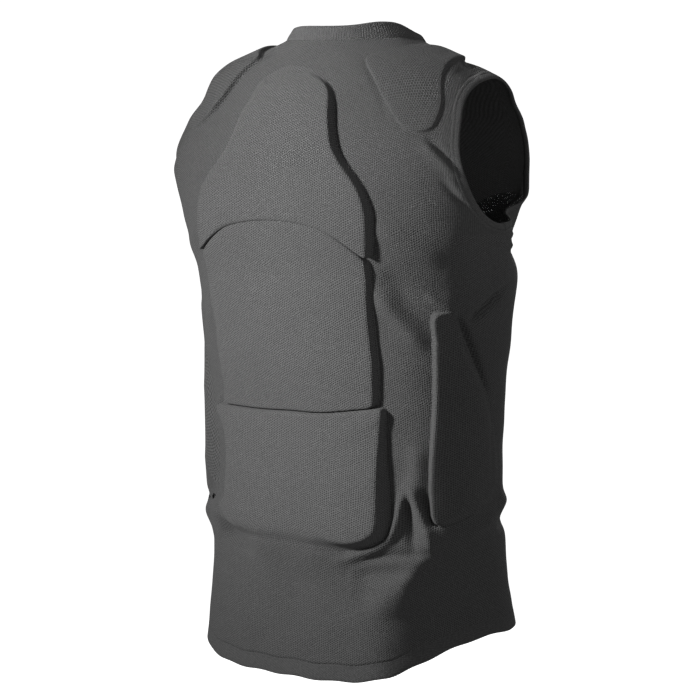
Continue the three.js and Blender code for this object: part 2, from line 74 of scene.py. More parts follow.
# Folds of the cloth. u runs round the body from the centre of the back, to the wearer's left if positive.
# The fold passes through its start, middle and end. lift is out of the cloth, and a negative one is a
# crease. sharp is 0 for a soft swell and 1 for a tight line.
Fold = namedtuple("Fold", "u0 z0 um zm u1 z1 width lift sharp")
FOLDS = [Fold(*row) for row in (
    # Shoulders and the edge of the arm openings
    (-68, -22, -95, -46, -122, -86, 2.8, -2.0, 0.3),
    (-180, -24, -192, -31, -205, -40, 12, -4.0, 0.0),
    (-168, -102, -188, -117, -210, -138, 3.5, -4.0, 0.4),
    (-164, -107, -186, -125, -208, -144, 5, 4.5, 0.1),
    (-190, -146, -204, -161, -221, -177, 4, -3.2, 0.4),
    (-196, -142, -206, -153, -217, -166, 4.5, 3.0, 0.1),
    (172, -104, 212, -143, 250, -184, 9, -3.4, 0.4),
    (160, -112, 185, -132, 205, -150, 11, 2.4, 0.1),
    # Armpits: wide dents, and crumples at the bottom of the right opening
    (-290, -170, -335, -184, -380, -198, 19, -22.0, 0.0),
    (-290, -204, -335, -216, -380, -226, 22, -20.0, 0.0),
    (290, -170, 335, -184, 380, -198, 24, -9.0, 0.0),
    (290, -204, 335, -216, 380, -226, 24, -8.0, 0.0),
    (-258, -194, -280, -202, -300, -206, 4.5, 4.0, 0.2),
    (-254, -207, -278, -214, -302, -217, 4.5, 4.0, 0.2),
    # From the spine guard to the armpits and the rib guards
    (-118, -194, -156, -213, -190, -233, 11, 4.0, 0.0),
    (121, -197, 150, -214, 186, -231, 13, 2.5, 0.0),
    (-100, -223, -115, -235, -128, -245, 3.5, 1.8, 0.3),
    (-122, -246, -156, -260, -190, -271, 11, -4.2, 0.0),
    (-114, -257, -138, -292, -163, -322, 10, 6.0, 0.1),
    (-132, -257, -154, -282, -178, -303, 11, -4.0, 0.0),
    (124, -262, 138, -300, 155, -331, 13, 2.5, 0.0),
    (-165, -262, -182, -274, -200, -285, 5, 4.5, 0.1),
    (-142, -420, -141, -450, -138, -478, 10, 5.0, 0.0),
    # Round the rib guards
    (-212, -293, -241, -278, -276, -259, 4.5, -8.0, 0.4),
    (212, -293, 242, -276, 272, -261, 12, -2.5, 0.2),
    (-198, -284, -214, -322, -233, -370, 3.2, -8.0, 0.3),
    (-248, -486, -274, -489, -305, -491, 9, 4.0, 0.0),
    (-248, -510, -276, -510, -305, -510, 9, -4.0, 0.0),
    (-158, -500, -165, -516, -170, -532, 14, 6.0, 0.0),
    (-170, -521, -204, -514, -252, -500, 7, 3.0, 0.0),
    (166, -395, 168, -470, 172, -550, 28, 4.5, 0.0),
    (106, -515, 146, -517, 182, -523, 18, 11.5, 0.0),
    (140, -490, 150, -518, 160, -545, 12, -2.5, 0.1),
    # Beside and under the lumbar guard
    (131, -385, 133, -398, 134, -412, 4, 3.0, 0.1),
    (122, -398, 124, -404, 126, -416, 3.5, -4.0, 0.4),
    (100, -526, 10, -533, -64, -532, 32, 12.0, 0.0),
    (128, -532, 94, -540, 58, -553, 8, -6.5, 0.0),
    (-56, -547, -102, -529, -120, -505, 5, 6.5, 0.1),
    (-115, -518, -121, -494, -126, -468, 5, 6.0, 0.1),
    (-129, -474, -133, -500, -140, -534, 6, -7.0, 0.1),
    (-132, -462, -146, -498, -164, -534, 6, 9.0, 0.1),
    (-144, -466, -154, -488, -164, -508, 7, -4.0, 0.1),
    (-66, -553, -104, -539, -176, -536, 5, -5.0, 0.5),
    (-70, -560, -103, -557, -150, -553, 9, -5.5, 0.0),
    (-70, -576, -103, -574, -140, -570, 18, -3.5, 0.0),
    # Skirt
    (-92, -600, -130, -572, -170, -548, 20, 7.0, 0.1),
    (103, -596, 130, -574, 157, -556, 18, 2.5, 0.0),
    (152, -566, 138, -571, 116, -576, 7, -3.0, 0.5),
    (-158, -635, -198, -626, -255, -617, 8, 2.0, 0.2),
)]
FOLD_STEPS = 14
FOLD_REACH = 4
FOLD_FADE = (-0.12, 0.3)
TIGHT_ROUND = 0.35
TIGHT_FALL = 1.6

# Neck, arm openings and hem
NECK_FRONT_DEPTH = 79
NECK_BACK_DROP = 3
NECK_RANGE = (-120, 5)
NECKBAND_HEIGHT = 15
NECKBAND_LEAN = math.radians(8)
NECKBAND_SIDE_LEAN = math.radians(36)
NECKBAND_PEAK = (-74, 24, 8)
NECKBAND_FRONT_DROP = 5
NECKBAND_FRONT = (0, 34)
NECKBAND_BACK = (-22, 16)
BINDING_WIDTH = 9.5
ARMHOLE_LOW = -192
ARMHOLE_HIGH = -42
ARMHOLE_DEPTH = {BACK: 71, FRONT: 84}
ARMHOLE_SCOOP = {BACK: -0.1, FRONT: 0.6}
SHOULDER_FALL = 0.75
HEM_WIDTH = 18
HEM_FRONT = -630
HEM_BACK_DROP = 47
HEM_DROP_POWER = 3.2
HEM_TILT = {LEFT: 0.1, RIGHT: -0.01}
HEM_TILT_REACH = 150
HEM_LEVEL = -650
HEM_FRONT_Y = -118
HEM_RIPPLE = 0.7
HEM_RIPPLES = 9
HEM_BACK_Y = 97.6
CLOTH_WALL = 1.6
BAND_WALL = 2.6

# Mesh fineness. The inner face of the cloth has one cell for every COARSE cells of the outer face.
QUARTER_STEPS = 120
SLOPE_STEP = 0.5
HALVINGS = 18
COARSE = 3
NECK_COLUMNS = {BACK: 66, FRONT: 24}
SHOULDER_COLUMNS = 42
BODY_ROWS = 150
ARM_ROWS = 102
RING_STEPS = 96
NECK_FINE = 400
RIBS = 174
RIB_STEPS = 6
WELD = 0.02


def column_curve(key):
    """Monotone cubic through one column of the section table."""
    z = np.array([row.z for row in TORSO], float)
    value = np.array([getattr(row, key) for row in TORSO], float)
    step = np.diff(z)
    rise = np.diff(value) / step
    slope = np.concatenate([rise[:1], np.zeros(len(z) - 2), rise[-1:]])
    for k in range(1, len(z) - 1):
        if rise[k - 1] * rise[k] > 0:
            before = 2 * step[k] + step[k - 1]
            after = step[k] + 2 * step[k - 1]
            slope[k] = (before + after) / (before / rise[k - 1] + after / rise[k])

    def curve(height):
        level = np.clip(height, z[0], z[-1])
        k = np.clip(np.searchsorted(z, level) - 1, 0, len(step) - 1)
        t = (level - z[k]) / step[k]
        s = 1 - t
        ends = (1 + 2 * t) * s * s * value[k] + t * t * (3 - 2 * t) * value[k + 1]
        return ends + t * s * step[k] * (s * slope[k] - t * slope[k + 1])

    return curve


half_width, side_y, back_y, front_y, square = (column_curve(key) for key in Section._fields[1:])


def centre_y(face, z):
    return back_y(z) if face == BACK else front_y(z)


def body_level(p):
    """One at the shirt's smooth surface, less inside it and more outside."""
    x, y, z = np.moveaxis(p, -1, 0)
    middle = side_y(z)
    depth = np.where(y > middle, back_y(z), front_y(z)) - middle
    power = square(z)
    across = np.abs(x) / half_width(z)
    through = np.abs((y - middle) / depth)
    return (across ** power + through ** power) ** (1 / power)


def unit(v):
    return v / np.linalg.norm(v, axis=-1, keepdims=True)


def body_normal(p):
    steps = np.eye(3) * SLOPE_STEP
    return unit(np.stack([body_level(p + step) - body_level(p - step) for step in steps], -1))


def surface_along(base, way, inside, outside):
    """How far along a way from the base points the shirt's surface lies, found by halving."""
    for _ in range(HALVINGS):
        middle = (outside + inside) / 2
        out = body_level(base + middle[:, None] * way) > 1
        outside = np.where(out, middle, outside)
        inside = np.where(out, inside, middle)
    return inside


def run_lengths(line):
    """Length along a line of points, up to each of them."""
    return np.concatenate([[0], np.cumsum(np.linalg.norm(np.diff(line, axis=0), axis=1))])


def even_points(line, lengths, count):
    """Points at even lengths along a line that ends where it starts, with all its columns."""
    spots = np.linspace(0, lengths[-1], count, endpoint=False)
    return np.stack([np.interp(spots, lengths, column) for column in line.T], -1)


TURNS = np.linspace(0, np.pi / 2, QUARTER_STEPS + 1)


def quarter_lengths(face, z):
    """Length along a quarter of the section from the centre line, at each of the TURNS."""
    z = np.asarray(z, float)[..., None]
    power = 2 / square(z)
    x = half_width(z) * np.sin(TURNS) ** power
    y = (centre_y(face, z) - side_y(z)) * np.cos(TURNS).clip(0) ** power
    steps = np.hypot(np.diff(x, axis=-1), np.diff(y, axis=-1))
    return np.concatenate([np.zeros_like(x[..., :1]), np.cumsum(steps, axis=-1)], axis=-1)


def step_ends(lengths, k):
    """Lengths at the start and the end of step k."""
    return (np.take_along_axis(lengths, k[..., None] + end, -1)[..., 0] for end in (0, 1))


def on_section(face, share, z):
    """Point of the smooth surface at a share of a quarter, with the length to it and of the quarter."""
    lengths = quarter_lengths(face, z)
    along = np.clip(share, 0, 1) * lengths[..., -1]
    k = np.clip((lengths < along[..., None]).sum(-1) - 1, 0, QUARTER_STEPS - 1)
    low, high = step_ends(lengths, k)
    turn = (k + (along - low) / (high - low)) * TURNS[1]
    power = 2 / square(z)
    x = half_width(z) * np.sin(turn) ** power
    y = side_y(z) + (centre_y(face, z) - side_y(z)) * np.cos(turn).clip(0) ** power
    return np.stack([x, y, np.asarray(z, float)], -1), along, lengths[..., -1]


def round_distance(p):
    """Signed distance u of a point round the body from the centre of the back."""
    x, y, z = np.moveaxis(p, -1, 0)
    power = square(z) / 2
    u = np.zeros(len(z))
    for face in (BACK, FRONT):
        mine = (y > side_y(z)) == (face == BACK)
        reach = np.abs((y - side_y(z)) / (centre_y(face, z) - side_y(z)))
        turn = np.arctan2((np.abs(x) / half_width(z)) ** power, reach ** power)
        lengths = quarter_lengths(face, z)
        spot = np.clip(turn / TURNS[1], 0, QUARTER_STEPS - 1e-6)
        k = spot.astype(int)
        low, high = step_ends(lengths, k)
        along = low + (high - low) * (spot - k)
        if face == FRONT:
            along = quarter_lengths(BACK, z)[:, -1] + lengths[:, -1] - along
        u = np.where(mine, along, u)
    return u * np.where(x < 0, -1, 1)


def smooth_step(low, high, value):
    t = np.clip((value - low) / (high - low), 0, 1)
    return t * t * (3 - 2 * t)


def fold_relief(u, z):
    """How far the folds lift the cloth."""
    shape = np.shape(u)
    u, z = np.ravel(u), np.ravel(z)
    total = np.zeros(len(u))
    for f in FOLDS:
        reach = FOLD_REACH * f.width
        near = (u > min(f.u0, f.um, f.u1) - reach) & (u < max(f.u0, f.um, f.u1) + reach)
        near &= (z > min(f.z0, f.zm, f.z1) - reach) & (z < max(f.z0, f.zm, f.z1) + reach)
        at = np.nonzero(near)[0]
        if not len(at):
            continue
        t = np.linspace(0, 1, FOLD_STEPS + 1)
        weights = np.stack([(1 - t) * (1 - 2 * t), 4 * t * (1 - t), t * (2 * t - 1)])
        line = np.stack([[f.u0, f.um, f.u1] @ weights, [f.z0, f.zm, f.z1] @ weights], -1)
        spot = np.stack([u[at], z[at]], -1)
        best = np.full(len(at), np.inf)
        place = np.zeros(len(at))
        for k in range(FOLD_STEPS):
            way = line[k + 1] - line[k]
            s = np.clip(((spot - line[k]) @ way) / (way @ way), 0, 1)
            d = np.linalg.norm(spot - line[k] - s[:, None] * way, axis=1)
            closer = d < best
            best = np.where(closer, d, best)
            place = np.where(closer, (k + s) / FOLD_STEPS, place)
        d = best / f.width
        soft = np.exp(-d * d)
        tight = np.exp(TIGHT_ROUND - np.hypot(TIGHT_FALL * d, TIGHT_ROUND))
        fade = smooth_step(*FOLD_FADE, place) * smooth_step(*FOLD_FADE, 1 - place)
        total[at] += f.lift * fade * ((1 - f.sharp) * soft + f.sharp * tight)
    return total.reshape(shape)


# Slow unevenness of worn cloth: lengths of the waves, their directions and heights
Wave = namedtuple("Wave", "length turn phase lift")
WAVES = [
    Wave(96, 0.4, 0.3, 0.35),
    Wave(71, 1.9, 1.1, 0.3),
    Wave(53, 2.7, 4.0, 0.22),
    Wave(37, 1.2, 2.2, 0.15),
]
EVEN_RANGE = (330, 430)


def cloth_relief(u, z):
    """Folds and slow waves. At the centre of the front the waves are alike on both hands, so they meet."""
    relief = fold_relief(u, z)
    own = 1 - smooth_step(*EVEN_RANGE, np.abs(u))
    for place, weight in ((u, own), (np.abs(u), 1 - own)):
        for wave in WAVES:
            along = place * math.cos(wave.turn) + z * math.sin(wave.turn)
            relief = relief + weight * wave.lift * np.sin(2 * math.pi * along / wave.length + wave.phase)
    return relief


# Below the lumbar guard's right corner the skirt hangs in a flat side, which cuts into the round section
FLAT_TURN = math.radians(70)
Flat = namedtuple("Flat", "z reach round")
FLAT_SIDE = [
    Flat(-720, 136, 24), Flat(-645, 137, 24), Flat(-605, 139.5, 21), Flat(-577, 148, 14),
    Flat(-556, 152, 9), Flat(-535, 161, 8), Flat(-508, 176, 8),
]
FLAT_FADE = (-512, -488)
FLAT_TAIL = 0.02


def flat_shift(p):
    """How far the flat side draws in points of the cloth."""
    outward = np.array([-math.sin(FLAT_TURN), math.cos(FLAT_TURN), 0])
    z = p[..., 2]
    rows = np.array(FLAT_SIDE, float)
    reach = np.interp(z, rows[:, 0], rows[:, 1])
    rounding = np.interp(z, rows[:, 0], rows[:, 2])
    proud = p @ outward - reach
    drawn = (proud + np.sqrt(proud ** 2 + rounding ** 2)) / 2
    drawn = np.clip(drawn - FLAT_TAIL * rounding, 0, None) * (1 - smooth_step(*FLAT_FADE, z))
    return -outward * drawn[..., None]


def cloth_points(face, hand, share, z, lift=0.0):
    """Points of the cloth on one half of one face, with their distance round the body."""
    p, along, whole = on_section(face, share, z)
    if face == FRONT:
        along = quarter_lengths(BACK, z)[..., -1] + whole - along
    p[..., 0] *= hand
    u = hand * along
    out = body_normal(p)
    cloth = p + out * np.asarray(cloth_relief(u, z))[..., None]
    return cloth + flat_shift(cloth) + out * lift, u


def hem_level(face, hand, share):
    p, _, _ = on_section(face, share, np.full(np.shape(share), float(HEM_LEVEL)))
    back = np.clip((p[..., 1] - HEM_FRONT_Y) / (HEM_BACK_Y - HEM_FRONT_Y), 0, 1)
    ripple = HEM_RIPPLE * np.cos(HEM_RIPPLES * np.pi * share)
    tilt = HEM_TILT[hand] * hand * p[..., 0] * np.abs(p[..., 0]) / HEM_TILT_REACH
    return HEM_FRONT - HEM_BACK_DROP * back ** HEM_DROP_POWER - tilt * back ** 2 + ripple


def armhole_line(face, margin, steps):
    """Share and height along the edge of an arm opening, or along a line margin away from it."""
    turn = np.linspace(0, np.pi, steps + 1)
    low = ARMHOLE_LOW - margin
    high = ARMHOLE_HIGH + margin * SHOULDER_FALL
    z = low + (high - low) * (1 - np.cos(turn)) / 2
    inward = (ARMHOLE_DEPTH[face] + margin) * np.sin(turn) * (1 + ARMHOLE_SCOOP[face] * np.cos(turn))
    return 1 - inward / quarter_lengths(face, z)[..., -1], z


def height_over(x, y):
    """Height of the shirt over spots near the neck, seen from above."""
    low, high = (np.full(len(x), float(z)) for z in NECK_RANGE)
    return surface_along(np.stack([x, y, np.zeros(len(x))], -1), UP, low, high)


def neck_line(face, steps):
    """Share and height along half the neck edge, from the centre line to the shoulder."""
    turn = np.linspace(0, np.pi / 2, steps + 1)
    if face == BACK:
        return turn / turn[-1], -NECK_BACK_DROP * np.cos(turn)
    x = half_width(0.0) * np.sin(turn)
    z = height_over(x, -NECK_FRONT_DEPTH * np.cos(turn))
    z[-1] = 0
    spot = np.stack([x, -NECK_FRONT_DEPTH * np.cos(turn), z], -1)
    whole = quarter_lengths(BACK, z)[:, -1] + quarter_lengths(FRONT, z)[:, -1]
    share = (whole - round_distance(spot)) / quarter_lengths(FRONT, z)[:, -1]
    share[0], share[-1] = 0, 1
    return share, z


def panel_places(face, hand):
    """Shares and heights over half a panel, in rows from the hem up to the neck and shoulder."""
    columns = NECK_COLUMNS[face] + SHOULDER_COLUMNS
    across = np.linspace(0, 1, columns + 1)
    hem = np.stack([across, hem_level(face, hand, across) + HEM_WIDTH], -1)
    arm = np.stack(armhole_line(face, BINDING_WIDTH, ARM_ROWS), -1)
    neck = np.stack(neck_line(face, NECK_COLUMNS[face]), -1)
    chest = np.stack([across, np.full(columns + 1, arm[0, 1])], -1)
    t = np.linspace(0, 1, SHOULDER_COLUMNS + 1)[1:, None]
    top = np.concatenate([neck, neck[-1] * (1 - t) + arm[-1] * t])
    up = np.linspace(0, 1, BODY_ROWS + 1)[:-1, None, None]
    lower = hem * (1 - up) + chest * up
    v = np.linspace(0, 1, ARM_ROWS + 1)[:, None, None]
    u = across[None, :, None]
    centre = chest[0] * (1 - v) + top[0] * v
    corners = (1 - u) * ((1 - v) * chest[0] + v * top[0]) + u * ((1 - v) * chest[-1] + v * top[-1])
    upper = (1 - v) * chest + v * top + (1 - u) * centre + u * arm[:, None, :] - corners
    places = np.concatenate([lower, upper])
    return places[..., 0], places[..., 1]


def new_mesh(name, points, faces, uvs=None, edges=()):
    """Object at the origin from points in millimetres. uvs hold one (u, v) for each point."""
    mesh = bpy.data.meshes.new(name)
    mesh.from_pydata((np.asarray(points) * MM).tolist(), edges, [list(map(int, f)) for f in faces])
    if uvs is not None:
        layer = mesh.uv_layers.new(name="weave")
        corner = np.zeros(len(mesh.loops), np.int32)
        mesh.loops.foreach_get("vertex_index", corner)
        layer.data.foreach_set("uv", np.asarray(uvs, np.float32)[corner].ravel())
    mesh.polygons.foreach_set("use_smooth", [True] * len(mesh.polygons))
    obj = bpy.data.objects.new(name, mesh)
    bpy.context.scene.collection.objects.link(obj)
    return obj


def edit_mesh(obj, change):
    """Runs one change on an object's own mesh."""
    edit = bmesh.new()
    edit.from_mesh(obj.data)
    change(edit)
    edit.to_mesh(obj.data)
    edit.free()
    return obj


def weld(edit):
    bmesh.ops.remove_doubles(edit, verts=edit.verts, dist=WELD * MM)


def face_outwards(edit):
    bmesh.ops.recalc_face_normals(edit, faces=edit.faces)


def ring_faces(at):
    """Faces between rows of point numbers, each row closed into a ring."""
    near, far = at[:-1], at[1:]
    return np.stack([near, np.roll(near, -1, 1), np.roll(far, -1, 1), far], -1).reshape(-1, 4).tolist()


def grid_faces(rows, columns, start=0, flip=False):
    at = start + np.arange(rows * columns).reshape(rows, columns)
    cells = np.stack([at[:-1, :-1], at[:-1, 1:], at[1:, 1:], at[1:, :-1]], -1).reshape(-1, 4)
    return cells[:, ::-1] if flip else cells


def lowest_near(values, reach):
    """Lowest value within reach cells of each cell."""
    padded = np.pad(values, reach, mode="edge")
    rows, columns = values.shape
    result = values
    for j in range(2 * reach + 1):
        for i in range(2 * reach + 1):
            result = np.minimum(result, padded[j:j + rows, i:i + columns])
    return result


def half_panel(face, hand):
    """Outer and inner grid of half a panel, with the rim at its free edges: points, faces, weave places."""
    share, z = panel_places(face, hand)
    outer, u = cloth_points(face, hand, share, z)
    smooth, _, _ = on_section(face, share, z)
    steps = np.linalg.norm(np.diff(smooth, axis=0), axis=-1)
    v = np.concatenate([np.zeros((1, z.shape[1])), np.cumsum(steps, axis=0)])
    v += z[BODY_ROWS] - v[BODY_ROWS]
    smooth[..., 0] *= hand
    relief = cloth_relief(u, z)
    inside = lowest_near(relief, COARSE)
    for edge in (np.s_[:, 0], np.s_[:, -1], np.s_[-1, :]):
        inside[edge] = relief[edge]
    out = body_normal(smooth)
    shift = flat_shift(smooth + out * relief[..., None])
    inner = (smooth + out * (inside - CLOTH_WALL)[..., None] + shift)[::COARSE, ::COARSE]
    weave = np.stack([u, v], -1)
    rows, columns = z.shape
    low_rows, low_columns = inner.shape[:2]
    flip = (face == BACK) == (hand == LEFT)
    start = rows * columns
    faces = grid_faces(rows, columns, 0, flip).tolist()
    faces += grid_faces(low_rows, low_columns, start, not flip).tolist()
    fine = np.arange(start).reshape(rows, columns)
    low = start + np.arange(low_rows * low_columns).reshape(low_rows, low_columns)
    neck = NECK_COLUMNS[face]
    rims = [
        (fine[0], low[0]),
        (fine[-1, :neck + 1][::-1], low[-1, :neck // COARSE + 1][::-1]),
        (fine[BODY_ROWS:, -1], low[BODY_ROWS // COARSE:, -1]),
    ]
    for edge, lining in rims:
        for k in range(len(lining) - 1):
            run = edge[k * COARSE:(k + 1) * COARSE + 1]
            ring = [lining[k], lining[k + 1], *run[::-1]]
            faces.append(ring[::-1] if flip else ring)
    points = np.concatenate([outer.reshape(-1, 3), inner.reshape(-1, 3)])
    uvs = np.concatenate([weave.reshape(-1, 2), weave[::COARSE, ::COARSE].reshape(-1, 2)])
    return points, faces, uvs


def shirt():
    """The whole shirt as one closed wall of cloth, open at the neck, arms and hem."""
    points, faces, uvs = [], [], []
    count = 0
    for face in (BACK, FRONT):
        for hand in (LEFT, RIGHT):
            p, f, w = half_panel(face, hand)
            points.append(p)
            uvs.append(w)
            faces += [[count + k for k in ring] for ring in f]
            count += len(p)
    obj = new_mesh("shirt", np.concatenate(points), faces, np.concatenate(uvs))
    return edit_mesh(obj, weld)


def band_uvs(sections):
    """Weave places of a ring: length along it and round its section."""
    along = run_lengths(sections.mean(1))[:, None]
    round_it = run_lengths(sections[0])[None, :]
    return np.stack(np.broadcast_arrays(along, round_it), -1).reshape(-1, 2)


def ring_object(name, sections):
    """Closed ring through like sections. sections has the shape (along, round, 3)."""
    count, corners = sections.shape[:2]
    at = np.arange(count * corners).reshape(count, corners)
    faces = ring_faces(np.concatenate([at, at[:1]]))
    return edit_mesh(new_mesh(name, sections.reshape(-1, 3), faces, band_uvs(sections)), face_outwards)


# Section of a turned band: across runs from the seam to the free edge, lift is out of the cloth
BandPoint = namedtuple("BandPoint", "across lift")


def band_profile(groove, proud, deep):
    """Half-round free edge, flat faces and a sewn groove at a share of the width."""
    under = proud - BAND_WALL
    rows = [
        (-0.06, -0.6), (-0.01, -0.1), (0.05, proud), (groove - 0.10, proud + 0.2 * deep),
        (groove - 0.04, proud - 0.3 * deep), (groove, proud - deep), (groove + 0.04, proud - 0.3 * deep),
        (groove + 0.10, proud + 0.3 * deep), (0.72, proud + 0.5 * deep), (0.88, proud + 0.1 * deep),
        (0.97, proud - 0.5), (1.0, proud - BAND_WALL / 2), (0.97, under + 0.5),
        (0.88, under), (0.4, under), (-0.06, under),
    ]
    return [BandPoint(*row) for row in rows]


def band_sections(face, hand, seam, edge, profile):
    """Sections of a band between two lines of the cloth, each line given as shares and heights."""
    rows = []
    for point in profile:
        share = seam[0] + (edge[0] - seam[0]) * point.across
        z = seam[1] + (edge[1] - seam[1]) * point.across
        p, _ = cloth_points(face, hand, share, z, point.lift)
        rows.append(p)
    return np.stack(rows, 1)


def join_loop(first, second):
    """Two lines of sections that share their ends, closed into one loop."""
    return np.concatenate([first, second[1:-1][::-1]])


BINDING_GROOVE = 0.36
HEM_GROOVE = 0.17
BINDING_PROFILE = band_profile(BINDING_GROOVE, proud=0.3, deep=0.3)
HEM_PROFILE = band_profile(HEM_GROOVE, proud=0.06, deep=0.1)
BINDING_THREAD = BandPoint(BINDING_GROOVE, 0.1)
HEM_THREAD = BandPoint(HEM_GROOVE, -0.3)


def armhole_sections(hand, profile):
    halves = []
    for face in (BACK, FRONT):
        seam = armhole_line(face, BINDING_WIDTH, RING_STEPS)
        edge = armhole_line(face, 0, RING_STEPS)
        halves.append(band_sections(face, hand, seam, edge, profile))
    return join_loop(*halves)


def hem_half(hand, profile):
    halves = []
    share = np.linspace(0, 1, RING_STEPS + 1)
    for face in (BACK, FRONT):
        low = hem_level(face, hand, share)
        halves.append(band_sections(face, hand, (share, low + HEM_WIDTH), (share, low), profile))
    return np.concatenate([halves[0], halves[1][:-1][::-1]])


def hem_sections(profile):
    return join_loop(hem_half(LEFT, profile), hem_half(RIGHT, profile))


def neck_loop(steps):
    """Closed loop of points along the neck edge, from the centre of the back to the wearer's left."""
    quarters = {}
    for face in (BACK, FRONT):
        share, z = neck_line(face, NECK_FINE)
        for hand in (LEFT, RIGHT):
            quarters[face, hand], _ = cloth_points(face, hand, share, z)
    loop = np.concatenate([
        quarters[BACK, LEFT], quarters[FRONT, LEFT][:-1][::-1],
        quarters[FRONT, RIGHT][1:], quarters[BACK, RIGHT][:-1][::-1],
    ])
    return even_points(loop, run_lengths(loop), steps)


NECKBAND_PROFILE = [BandPoint(*row) for row in (
    (-0.10, -0.8), (-0.04, 0.1), (0.03, 0.5), (0.10, 0.75), (0.3, 0.85), (0.5, 0.85), (0.7, 0.85),
    (0.86, 0.75), (0.96, 0.2), (1.0, -0.7), (0.96, -1.6), (0.86, -2.1), (0.5, -2.1), (0.1, -2.1),
    (-0.10, -2.0),
)]
RIB_FADE = (0.0, 0.12)


def neckband():
    """Band that stands on the neck edge and leans in. Its ribs are raised by the rib tree."""
    steps = RIBS * RIB_STEPS
    foot = neck_loop(steps)
    inward = unit(-foot * [1, 1, 0])
    lean = (NECKBAND_LEAN + NECKBAND_SIDE_LEAN * inward[:, 0] ** 2)[:, None]
    rise = UP * np.cos(lean) + inward * np.sin(lean)
    out = UP * np.sin(lean) - inward * np.cos(lean)
    middle, reach, lift = NECKBAND_PEAK
    peak = lift * np.exp(-((foot[:, :1] - middle) / reach) ** 2) * smooth_step(*NECKBAND_BACK, foot[:, 1:2])
    drop = NECKBAND_FRONT_DROP * smooth_step(*NECKBAND_FRONT, -foot[:, 1:2])
    tall = NECKBAND_HEIGHT + peak - drop
    rows = [foot + rise * tall * q.across + out * q.lift for q in NECKBAND_PROFILE]
    sections = np.stack(rows, 1)
    obj = ring_object("neck_rib_band", sections)
    corners = len(NECKBAND_PROFILE)
    around = np.repeat(np.arange(steps) / steps, corners)
    across = np.tile([q.across for q in NECKBAND_PROFILE], steps)
    fade = smooth_step(*RIB_FADE, across) * smooth_step(*RIB_FADE, 1 - across)
    for name, values in (("around", around), ("rib_share", fade)):
        field = obj.data.attributes.new(name, "FLOAT", "POINT")
        field.data.foreach_set("value", values.astype(np.float32))
    return obj


# Foam guards. Each outline is seen along the view's outward direction, a across and b up.
View = namedtuple("View", "outward across up")
SHOULDER_TILT = math.radians(60)
RIB_TURN = math.radians(25)


def back_view():
    return View(np.array([0, 1.0, 0]), np.array([1.0, 0, 0]), UP)


def shoulder_view():
    c, s = math.cos(SHOULDER_TILT), math.sin(SHOULDER_TILT)
    return View(np.array([0, c, s]), np.array([1.0, 0, 0]), np.array([0, -s, c]))


def rib_view():
    c, s = math.cos(RIB_TURN), math.sin(RIB_TURN)
    return View(np.array([c, s, 0]), np.array([-s, c, 0]), UP)


# soft widens the rounding of the edge, lean spreads the foot of its wall, and thin is the share of the
# height that the edge lacks. In an outline given by its half, left is the softness and sag the drop on the
# wearer's left.
Spot = namedtuple("Spot", "a b soft lean left thin sag", defaults=(0, 0, 0, 0, 0))
UPPER_HALF = [
    Spot(0, -37, 0.6, 0, 0.7), Spot(20, -38, 0.3, 0, 0.8), Spot(34.5, -44, 0.1, 0, 0.8),
    Spot(46, -51, 0, 0, 0.8), Spot(53, -59, 0, 0, 0.6), Spot(61, -80, 0, 0, 0.4),
    Spot(71, -109, 0, 0, 0.4), Spot(76, -118, 0, 0, 0.4), Spot(89, -133, 0, 0, 0.4),
    Spot(99.5, -144, 0, 0, 0.4), Spot(109.5, -157, 0, 0, 0.5), Spot(116, -173, 0, 1, 0.6),
    Spot(117.5, -182, 0, 2, 0.7), Spot(117, -205, 0, 2, 0.5), Spot(115.5, -219, 0, 1, 0.3),
    Spot(114, -225, 0, 0, 0.1), Spot(108, -222), Spot(93, -212), Spot(67, -199.5), Spot(37, -193.5),
    Spot(0, -191),
]
MIDDLE_HALF = [
    Spot(0, -188), Spot(37, -190.5), Spot(67, -197.5), Spot(93, -212), Spot(108, -223.5),
    Spot(112, -228.5, 0, 0, 0.2), Spot(112.5, -237, 0, 1, 0.5), Spot(110.5, -267, 0, 2, 0.8),
    Spot(109.5, -285, 0, 2, 0.8), Spot(109, -308, 0, 2, 0.8), Spot(109.5, -330, 0, 2, 0.8),
    Spot(108, -350, 0, 2, 0.8), Spot(106, -370, 0, 2, 0.6, sag=6), Spot(104.5, -379, 0, 1, 0.3, sag=10),
    Spot(99, -382.5, sag=10), Spot(90, -384, sag=8.5), Spot(66, -387.5, sag=5), Spot(40, -390.5, sag=2),
    Spot(0, -391),
]
LUMBAR_HALF = [
    Spot(0, -391.5), Spot(40, -391, sag=2), Spot(66, -388, sag=5), Spot(90, -384.5, sag=8.5),
    Spot(108, -382, thin=-0.1, sag=10), Spot(114, -382.5, 0, 0, 0.1, thin=-0.15, sag=11),
    Spot(115, -387, 0, 0, 0.2, thin=-0.15, sag=12), Spot(112.5, -402, 0, 1, 0.4, sag=6),
    Spot(110, -422, 0, 2, 0.8), Spot(108, -444, 0, 3, 1.1), Spot(107.5, -466, 0, 5, 1.2),
    Spot(108, -488, 0, 6.5, 1.2), Spot(108, -506, 0, 7.5, 1.2), Spot(106, -514, 0, 7.5, 0.9),
    Spot(97, -522, 0, 6, 0.7), Spot(83, -528, 0.1, 3, 0.6), Spot(45, -531, 0.6, 0, 0.7), Spot(0, -530, 0.8),
]
